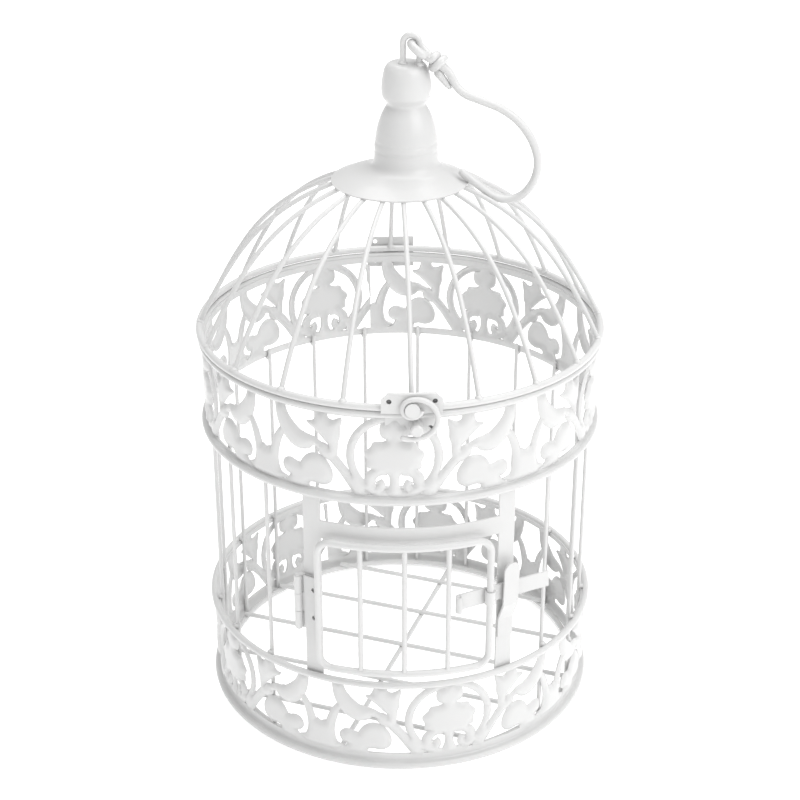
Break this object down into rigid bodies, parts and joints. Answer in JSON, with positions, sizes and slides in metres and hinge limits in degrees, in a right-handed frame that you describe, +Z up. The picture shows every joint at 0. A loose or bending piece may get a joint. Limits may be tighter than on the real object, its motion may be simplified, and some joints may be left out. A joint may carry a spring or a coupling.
{
  "type": "wedding card box",
  "caption": "Round domed wire cage for wedding cards, with pierced bands, a hinged lid with clasp, a small latched front door and a hanging hook.",
  "frame": {"origin": "centre of the foot, on the surface the cage stands on", "axes": "+Z up through the finial, the door faces -Y, the lid hinge is at +Y, +X is to the right seen from the front"},
  "size_m": [0.2046, 0.2143, 0.3486],
  "materials": {
    "wire_paint": "satin white enamel on drawn steel wire",
    "sheet_paint": "satin white enamel on pressed and pierced steel sheet",
    "fitting_paint": "satin white enamel over small hinges and clasp parts, thicker in the corners"
  },
  "bodies": {
    "cage": {"base_ring": "wire_paint", "lower_band": "sheet_paint", "lower_band_ring": "wire_paint", "upper_band_lower_ring": "wire_paint", "upper_band": "sheet_paint", "body_top_ring": "wire_paint", "cage_bars": "wire_paint", "door_post_left": "sheet_paint", "door_post_right": "sheet_paint", "door_header": "sheet_paint", "floor_ring": "wire_paint", "floor_wires": "wire_paint", "floor_cross_wire": "wire_paint", "latch_keeper": "sheet_paint", "clasp_lower_plate": "fitting_paint", "clasp_peg": "fitting_paint", "lid_hinge_lower_leaf": "fitting_paint", "lid_hinge_pin": "fitting_paint", "door_hinge_post_leaf": "fitting_paint", "door_hinge_pin": "fitting_paint"},
    "lid": {"lid_ring": "wire_paint", "dome_ribs": "wire_paint", "finial_cap": "sheet_paint", "hanging_staple": "wire_paint", "lid_hinge_upper_leaf": "fitting_paint", "clasp_upper_plate": "fitting_paint", "clasp_pivot_pin": "fitting_paint"},
    "clasp": {"clasp_hook": "wire_paint"},
    "door": {"door_frame": "wire_paint", "door_bars": "wire_paint", "door_hinge_door_leaf": "fitting_paint"},
    "latch": {"latch_bar": "sheet_paint"},
    "hook": {"hanging_hook": "wire_paint"}
  },
  "joints": [
    {"name": "lid_hinge", "type": "hinge", "parent": "cage", "child": "lid", "pos_m": [0, 0.1044, 0.2], "axis": [-1, 0, 0], "range_deg": [0, 105]},
    {"name": "clasp_swing", "type": "hinge", "parent": "lid", "child": "clasp", "pos_m": [0, -0.1054, 0.2035], "axis": [0, -1, 0], "range_deg": [0, 110]},
    {"name": "door_hinge", "type": "hinge", "parent": "cage", "child": "door", "pos_m": [-0.05379, -0.08608, 0.0919], "axis": [0, 0, -1], "range_deg": [0, 120]},
    {"name": "latch_slide", "type": "slide", "parent": "door", "child": "latch", "axis": [0, 0, 1], "range_m": [0, 0.021]},
    {"name": "hook_swing", "type": "hinge", "parent": "lid", "child": "hook", "pos_m": [0.005, -0.004, 0.3432], "axis": [-0.1564, -0.9877, 0], "range_deg": [0, 200]}
  ]
}
